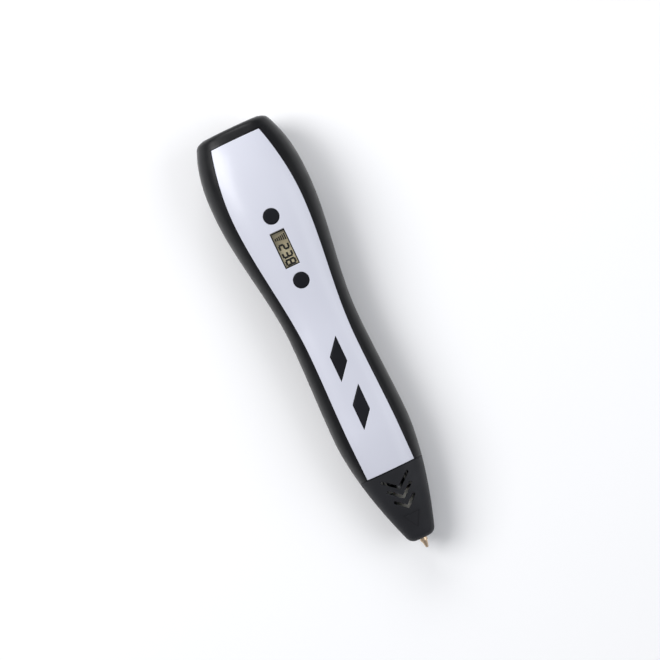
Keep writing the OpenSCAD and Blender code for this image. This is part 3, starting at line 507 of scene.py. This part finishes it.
FINISHES = {
    "shell": moulded("satin_black", (0.0035, 0.0037, 0.0045), (0.0055, 0.0057, 0.0068), 0.36, 2600, 0.004,
                     Specular_IOR_Level=0.22, Coat_Weight=0.06, Coat_Roughness=0.2),
    "panel": pearl_white(),
    "nose": moulded("matte_charcoal", (0.012, 0.0125, 0.015), (0.017, 0.0175, 0.021), 0.55, 3200, 0.012,
                    Specular_IOR_Level=0.25),
    "button": moulded("button_rubber", (0.003, 0.0035, 0.006), (0.0048, 0.0054, 0.009), 0.5, 2200, 0.006,
                      Specular_IOR_Level=0.2),
    "lens": clear_lens(),
    "display": display_cell(),
    "brass": worked_metal("turned_brass", (0.6, 0.43, 0.28), (0.78, 0.62, 0.45), 0.32, (200, 9000, 200)),
    "steel": worked_metal("turned_steel", (0.5, 0.51, 0.53), (0.68, 0.69, 0.71), 0.3, (200, 7000, 200)),
    "aluminium": worked_metal("turned_aluminium", (0.6, 0.62, 0.65), (0.78, 0.8, 0.83), 0.35,
                              (200, 7000, 200)),
    "board": circuit_green(),
    "dark_plastic": moulded("dark_plastic", (0.02, 0.02, 0.023), (0.032, 0.032, 0.036), 0.5, 1800, 0.008),
    "white_plastic": moulded("white_plastic", (0.72, 0.72, 0.69), (0.82, 0.82, 0.79), 0.45, 1500, 0.006),
    "sleeve": woven_sleeve(),
    "red_wire": moulded("red_wire", (0.42, 0.02, 0.02), (0.55, 0.04, 0.03), 0.42, 1500, 0.006),
    "yellow_wire": moulded("yellow_wire", (0.55, 0.38, 0.03), (0.66, 0.48, 0.06), 0.42, 1500, 0.006),
    "white_wire": moulded("white_wire", (0.62, 0.62, 0.58), (0.75, 0.75, 0.7), 0.42, 1500, 0.006),
    "black_wire": moulded("black_wire", (0.015, 0.015, 0.016), (0.026, 0.026, 0.028), 0.42, 1500, 0.006),
}
# Dark ink of the display's figures, also used for the bands of painted shade along the window's edges.
INK_AND_PAINTED_SHADE = moulded("display_ink_and_painted_shade", (0.006, 0.006, 0.005), (0.012, 0.011, 0.009), 0.4, 900, 0.003)


def finish_frame():
    """Every node of the frame gets the finish of its own slot."""
    for entry in frame["record"]["subparts"]:
        node = frame["nodes"][entry["node"]]
        node.data.materials.clear()
        node.data.materials.append(FINISHES[entry["material_slot"]])


# ---------- Camera, floor and light ----------


def make_camera():
    """Straight above the panel, turned so that the pen leans as it does in the hand."""
    lean = math.radians(25.3)
    distance = 1.0
    seen_width = 0.2595
    aim = Vector((0.0018, 0.0028, 0.0255))
    camera = bpy.data.cameras.new("camera")
    camera.sensor_width = 36
    camera.lens = 36 * distance / seen_width
    camera.clip_end = 20
    holder = bpy.data.objects.new("camera", camera)
    bpy.context.scene.collection.objects.link(holder)
    holder.location = aim + Vector((0, 0, distance))
    holder.rotation_euler = (0, 0, -lean)
    bpy.context.scene.camera = holder


def make_floor():
    clear_selection()
    bpy.ops.mesh.primitive_plane_add(size=6, location=(0, 0, cad_box[0].z - 0.0002))
    floor = fresh("floor")
    settle(floor)
    finish = Finish("pale_floor", (0.92, 0.92, 0.93), 0.9)
    finish.wire("Base Color", finish.ramp(
        finish.noise(3, 2), (0.3, (0.91, 0.91, 0.92)), (0.7, (0.93, 0.93, 0.935))))
    floor.data.materials.append(finish.material)


def softbox(name, spot, size, power, colour=(1, 1, 1)):
    light = bpy.data.lights.new(name, "AREA")
    light.shape = "RECTANGLE"
    light.size, light.size_y = size
    light.energy = power
    light.color = colour
    holder = bpy.data.objects.new(name, light)
    bpy.context.scene.collection.objects.link(holder)
    holder.location = spot
    holder.rotation_euler = (-Vector(spot)).to_track_quat("-Z", "Y").to_euler()


def make_light():
    world = bpy.data.worlds.new("studio")
    world.use_nodes = True
    back = world.node_tree.nodes["Background"]
    back.inputs["Color"].default_value = (0.93, 0.95, 1, 1)
    back.inputs["Strength"].default_value = 0.32
    bpy.context.scene.world = world
    softbox("key_softbox", (-0.75, 0.55, 1.0), (0.7, 0.9), 13.4)
    softbox("fill_softbox", (0.9, -0.3, 0.9), (0.9, 0.9), 5.0, (0.95, 0.97, 1))
    softbox("rear_softbox", (0.1, 1.0, 0.6), (0.8, 0.4), 5)
    bpy.context.scene.view_settings.view_transform = "Standard"


# ---------- Casing ----------


def end_rows(from_edge):
    """Half-sizes of the rear end's rows: (station, inset from the section, height share)."""
    rows = []
    for share in (0.0, 0.25, 0.5, 0.72, 0.88, 0.97):
        rows.append((END_SET_IN + END_CROWN * share * share, END_EDGE, share))
    for turn in range(0, 91, 15):
        t = math.radians(turn)
        start = END_SET_IN + END_CROWN
        rows.append((start + (END_EDGE - start) * (1 - math.cos(t)), END_EDGE * (1 - math.sin(t)), 1.0))
    return rows + [(s, 0.0, 1.0) for s in from_edge]


def open_angle(s, reach):
    """Angle of a section at which it is as far out as the opening's edge."""
    return math.degrees(math.acos((reach / half_width(s)) ** (SQUARENESS / 2)))


def front_skin():
    """The black frame round the panel: two rails and the bridge at the rear end."""
    edge = PANEL_FROM - PANEL_GAP
    reach = panel_half(edge) + PANEL_GAP
    corner = open_angle(edge, reach)
    rail_cells = 16

    def row(s, inset, share, angles):
        w = half_width(s) - inset
        h = (half_height(s) - inset) * share
        return [section_point(s, w, h, angle) for angle in angles]

    bridge_angles = (steps(0, corner, rail_cells) + steps(corner, 180 - corner, 30)[1:-1]
                     + steps(180 - corner, 180, rail_cells))
    near = [s for s in steps(END_EDGE, edge, 4)][1:]
    bridge = sheet_of("bridge", [row(s, inset, share, bridge_angles) for s, inset, share in end_rows(near)])
    stations = steps(edge, SEAM, 110)
    sides = []
    for side in (0, 1):
        rows = []
        for s in stations:
            open_at = open_angle(s, panel_half(s) + PANEL_GAP if s > edge else reach)
            angles = steps(0, open_at, rail_cells)
            rows.append(row(s, 0, 1, [180 - a for a in angles] if side else angles))
        sides.append(sheet_of("rail", rows))
    return join([bridge, *sides], "front_frame")


def make_front_shell():
    shell = front_skin()
    outwards(shell, 0.00002)
    use(shell, "SOLIDIFY", thickness=WALL * MM, offset=-1, use_even_offset=False)
    soften(shell, 0.22, 3, 50, 35)
    return finish_piece(shell, PEN, FINISHES["shell"], ["front_shell"])


def case_screw_spots():
    """Where the case screws stand: just outside the panel, from the frame's own screws."""
    low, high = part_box("case_screws")
    spots = []
    for y in (low.y, high.y):
        s = (REAR - y) / MM + (1.8 if y == high.y else -1.8)
        x = panel_half(s) + PANEL_GAP + 1.95
        spots += [(x, s), (-x, s)]
    return spots


def head_seat(x, s):
    """Height at which a case screw's head meets its post."""
    return 2 * middle_z(s) - crown_z(s, abs(x) + 1.9) + 1.95


def make_rear_shell():
    rows = []
    for s, inset, share in end_rows(steps(END_EDGE, SEAM, 112)[1:]):
        w = half_width(s) - inset
        h = (half_height(s) - inset) * share
        rows.append([section_point(s, w, h, angle) for angle in steps(180, 360, 56)])
    shell = sheet_of("back_cover", rows)
    outwards(shell, 0.00002)
    use(shell, "SOLIDIFY", thickness=WALL * MM, offset=-1, use_even_offset=False)
    jack_x = (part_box("power_jack")[0].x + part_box("power_jack")[1].x) / 2 / MM
    inlet_x = (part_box("filament_inlet")[0].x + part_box("filament_inlet")[1].x) / 2 / MM
    cuts = [turned("screw_hole", [(-2, SCREW_HOLE_R), (head_seat(x, s), SCREW_HOLE_R)], 48, upright=(x, s))
            for x, s in case_screw_spots()]
    cuts.append(turned("jack_hole", [(-2, JACK_HOLE_R), (4, JACK_HOLE_R)], 64, x=jack_x))
    cuts.append(turned("inlet_hole", [(-2, INLET_HOLE_R), (4, INLET_HOLE_R)], 64, x=inlet_x))
    fan = (REAR - (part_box("fan_housing")[0].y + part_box("fan_housing")[1].y) / 2) / MM
    for k in range(-2, 3):
        outline = []
        for end, first in ((-1, -90), (1, 90)):
            for turn in steps(first, first + 180, 10):
                t = math.radians(turn)
                outline.append((k * VENT_PITCH + VENT_HALF * math.sin(t),
                                fan + end * VENT_REACH - VENT_HALF * math.cos(t)))
        cuts.append(prism("vent", outline, -2, 4))
    carve(shell, cuts)
    soften(shell, 0.2, 3, 50, 35)
    return finish_piece(shell, PEN, FINISHES["shell"], ["rear_shell"])


def circle_outline(x, s, radius, sides=72):
    return [(x + radius * math.cos(math.radians(a)), s - radius * math.sin(math.radians(a)))
            for a in steps(0, 360, sides)[:-1]]


def slant_outline(s, more):
    """The slanted button's outline, grown by the same distance on every side."""
    lean = SLANT_SKEW / SLANT_WIDTH
    reach = SLANT_WIDTH / 2 + more
    side = SLANT_SIDE / 2 + more * math.hypot(1, lean)
    return [(-reach, s + lean * reach + side), (reach, s - lean * reach + side),
            (reach, s - lean * reach - side), (-reach, s + lean * reach - side)]


def window_outline(more):
    x = WINDOW_WIDTH / 2 + more
    y = WINDOW_LENGTH / 2 + more
    return [(WINDOW_X - x, WINDOW_AT + y), (WINDOW_X + x, WINDOW_AT + y),
            (WINDOW_X + x, WINDOW_AT - y), (WINDOW_X - x, WINDOW_AT - y)]


def round_corners(piece, radius, segments=4):
    """Rounds the upright edges of a flat block."""
    use(piece, "BEVEL", width=radius * MM, segments=segments, limit_method="ANGLE",
        angle_limit=math.radians(30), affect="EDGES")


def panel_outline():
    right = [(panel_half(s), s) for s in steps(PANEL_FROM, PANEL_TO, 70)]
    top = [(x, PANEL_FROM) for x in steps(-panel_half(PANEL_FROM), panel_half(PANEL_FROM), 12)[1:-1]]
    left = [(-x, s) for x, s in reversed(right)]
    return right + left + top


def make_face_panel():
    plate = prism("face_plate", panel_outline(), -PANEL_THICK, 0)
    cuts = [prism("cut", circle_outline(0, s, BUTTON_R + BUTTON_GAP), -3, 1) for s in (WARMER_AT, COOLER_AT)]
    cuts += [prism("cut", slant_outline(s, BUTTON_GAP), -3, 1) for s in (FEED_AT, RETRACT_AT)]
    cuts.append(prism("cut", window_outline(0), -3, 1))
    carve(plate, cuts)
    use(plate, "BEVEL", width=0.22 * MM, segments=3, limit_method="ANGLE",
        angle_limit=math.radians(60), use_clamp_overlap=True)
    slice_up(plate, 1.6)
    drape(plate)
    take(plate)
    bpy.ops.object.shade_smooth_by_angle(angle=math.radians(35))
    use(plate, "WEIGHTED_NORMAL", keep_sharp=True, weight=60)
    return finish_piece(plate, PEN, FINISHES["panel"], ["face_panel"])


def chevron_outline(s, spread, depth, width):
    """A V that points to the nozzle, with round ends."""
    half = width / 2
    angle = math.atan2(depth, spread)
    across = Vector((math.sin(angle), math.cos(angle))) * half
    tip = Vector((spread, -depth))
    outline = []
    for turn in steps(-90, 90, 8):
        t = math.radians(turn)
        forward = Vector((math.cos(angle), -math.sin(angle))) * half
        outline.append(tip + forward * math.cos(t) + across * math.sin(t))
    rise = half / math.cos(angle)
    right = [(p.x, s + p.y) for p in outline]
    left = [(-p.x, s + p.y) for p in reversed(outline)]
    return [(0, s - rise)] + right + [(0, s + rise)] + left


def stroke_outline(a, b, width):
    """A straight stroke between two points, running on past both by half its width."""
    start, end = Vector(a), Vector(b)
    run = (end - start).normalized() * width / 2
    side = Vector((-run.y, run.x))
    return [tuple(p) for p in (start - run - side, end + run - side, end + run + side, start - run + side)]


def make_nose_cone():
    columns = 112
    rows = []
    for s in steps(SEAM + SEAM_GAP, NOSE_END - TIP_ROUND, 34):
        rows.append([section_point(s, half_width(s), half_height(s), a) for a in steps(0, 360, columns)])
    for turn in steps(0, 90, 7)[1:]:
        t = math.radians(turn)
        s = NOSE_END - TIP_ROUND * (1 - math.sin(t))
        cut = TIP_ROUND * (1 - math.cos(t))
        rows.append([section_point(s, half_width(s) - cut, half_height(s) - cut, a)
                     for a in steps(0, 360, columns)])
    flat = half_width(NOSE_END) - TIP_ROUND
    for share in (0.35, 0.7, 1.0):
        rim = []
        for a in steps(0, 360, columns):
            edge = section_point(NOSE_END, flat, flat, a)
            t = math.radians(a)
            end = place(TIP_HOLE_R * math.cos(t), NOSE_END, AXIS_Z + TIP_HOLE_R * math.sin(t))
            rim.append(edge.lerp(end, share))
        rows.append(rim)
    nose = sheet_of("nose", rows)
    outwards(nose, 0.00001)
    use(nose, "SOLIDIFY", thickness=NOSE_WALL * MM, offset=-1, use_even_offset=False)
    cuts = [prism("slot", chevron_outline(SEAM + down, spread, depth, SLOT_WIDTH), AXIS_Z, 30)
            for down, spread, depth in SLOTS]
    corners = [(-MARK_HALF, SEAM + MARK_FROM), (MARK_HALF, SEAM + MARK_FROM), (0, SEAM + MARK_TO)]
    for k in range(3):
        groove = prism("groove", stroke_outline(corners[k - 1], corners[k], GROOVE_WIDTH), -GROOVE_DEEP, 1.0)
        slice_up(groove, 0.8)
        drape(groove)
        cuts.append(groove)
    carve(nose, cuts)
    soften(nose, 0.15, 2, 50, 35)
    return finish_piece(nose, PEN, FINISHES["nose"], ["nose_cone"])


# ---------- Buttons and display ----------


def make_button(name, outline, body, corner=0.0):
    """A cap that follows the crown, with a rounded rim."""
    s = sum(p[1] for p in outline) / len(outline)
    cap = prism(name, outline, -3.0, BUTTON_PROUD)
    if corner:
        round_corners(cap, corner)
    use(cap, "BEVEL", width=0.3 * MM, segments=3, limit_method="ANGLE", angle_limit=math.radians(60))
    outwards(cap, 0.000005)
    slice_up(cap, 1.2)
    drape(cap)
    take(cap)
    bpy.ops.object.shade_smooth_by_angle(angle=math.radians(35))
    use(cap, "WEIGHTED_NORMAL", keep_sharp=True, weight=60)
    return finish_piece(cap, body, FINISHES["button"], [body])


SEGMENTS = {"2": "abdeg", "3": "abcdg", "8": "abcdefg"}


def make_display():
    low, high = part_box("display_glass")
    rise = top_z(WINDOW_AT - WINDOW_LENGTH / 2) - top_z(WINDOW_AT + WINDOW_LENGTH / 2)
    tilt = math.atan2(rise, WINDOW_LENGTH)
    centre = (low + high) / 2
    clear_selection()
    bpy.ops.mesh.primitive_cube_add(size=1, location=(0, 0, -0.8 * MM), scale=(9 * MM, 19 * MM, 1.6 * MM))
    cell = fresh("display_cell")
    settle(cell)
    soften(cell, 0.15, 2)
    dark_strokes = []

    def stroke(x, y, width, length):
        """A bar of the display, raised a hair over the cell; the bars along the window's edges are painted
        shade.
        """
        clear_selection()
        bpy.ops.mesh.primitive_cube_add(size=1, location=(x * MM, y * MM, 0.01 * MM),
                                        scale=(width * MM, length * MM, 0.03 * MM))
        bar = fresh("stroke")
        settle(bar)
        soften(bar, 0.008, 1, 30)
        dark_strokes.append(bar)

    for k in range(6):
        stroke(-1.85 + k * 0.78, 4.6, 0.52, 1.1 + k * 0.3)
    # Dark bands along the window's four edges: painted shade that stands in for the shadow of the recess.
    for side in (-1, 1):
        stroke(side * 2.85, 0, 0.45, 14.8)
        stroke(0, side * 7.2, 5.9, 0.45)
    for k, figure in enumerate("238"):
        mid = 0.9 - k * 3.2
        w, h = 1.0, 1.8
        spots = {"a": (h, 0, 0), "g": (0, 0, 0), "d": (-h, 0, 0), "b": (h / 2, -w, 1), "c": (-h / 2, -w, 1),
                 "f": (h / 2, w, 1), "e": (-h / 2, w, 1)}
        for letter in SEGMENTS[figure]:
            x, y, upright = spots[letter]
            stroke(x + 0.05, mid + y, 1.75 if upright else 0.8, 0.8 if upright else 1.75)
    marks = join(dark_strokes, "display_figures_and_edge_shade")
    for piece in (cell, marks):
        turn = Matrix.Rotation(tilt, 4, "X")
        lift = Vector((WINDOW_X * MM, REAR - WINDOW_AT * MM, centre.z + 0.8 * MM))
        piece.data.transform(Matrix.Translation(lift) @ turn)
    finish_piece(cell, PEN, FINISHES["display"], ["display_glass"])
    finish_piece(marks, PEN, INK_AND_PAINTED_SHADE)


def make_lens():
    lens = prism("window_lens", window_outline(-0.1), -1.6, -0.35)
    slice_up(lens, 1.6)
    drape(lens)
    soften(lens, 0.1, 2, 60)
    finish_piece(lens, PEN, FINISHES["lens"], ["display_lens"])


# ---------- Turned and wound parts ----------


def make_nozzle():
    start = NOSE_END - 4
    tip = turned("nozzle_tip", [
        (start, 1.5), (NOSE_END + 1.25, 1.5), (NOSE_END + 1.5, 1.38), (NOSE_END + 1.5, 1.2),
        (TIP_END - 0.35, 0.62), (TIP_END - 0.05, 0.5), (TIP_END, 0.4), (TIP_END, 0.22), (TIP_END - 1.2, 0.2)
    ], 64)
    soften(tip, 0.05, 2, 30)
    finish_piece(tip, PEN, FINISHES["brass"], ["nozzle"])


def make_idler_spring():
    """The idler's coil spring, wound along its own axis at one fixed length."""
    low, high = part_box("idler_spring")
    wire = 0.2 * MM
    turns = 3
    clear_selection()
    bpy.ops.mesh.primitive_circle_add(vertices=12, radius=wire, location=(0, 0, (high.z - low.z) / 2 - wire),
                                      rotation=(math.radians(90), 0, 0))
    spring = fresh("arm_spring")
    settle(spring)
    use(spring, "SCREW", axis="X", angle=math.radians(360), iterations=turns, steps=32, render_steps=32,
        screw_offset=(high.x - low.x - 2 * wire) / turns)
    take(spring)
    bpy.ops.object.mode_set(mode="EDIT")
    bpy.ops.mesh.select_all(action="SELECT")
    bpy.ops.mesh.fill_holes(sides=12)
    bpy.ops.object.mode_set(mode="OBJECT")
    spring.data.transform(Matrix.Translation((low.x + wire, (low.y + high.y) / 2, (low.z + high.z) / 2)))
    outwards(spring, 0.00001)
    take(spring)
    bpy.ops.object.shade_smooth_by_angle(angle=math.radians(50))
    finish_piece(spring, PEN, FINISHES["steel"], ["idler_spring"])
    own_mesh(spring)


make_camera()
make_floor()
make_light()
finish_frame()
make_front_shell()
make_rear_shell()
make_face_panel()
make_nose_cone()
make_button("warmer_cap", circle_outline(0, WARMER_AT, BUTTON_R), "warmer_button")
make_button("cooler_cap", circle_outline(0, COOLER_AT, BUTTON_R), "cooler_button")
make_button("feed_cap", slant_outline(FEED_AT, 0), "feed_button", 0.35)
make_button("retract_cap", slant_outline(RETRACT_AT, 0), "retract_button", 0.35)
make_display()
make_lens()
make_nozzle()
make_idler_spring()
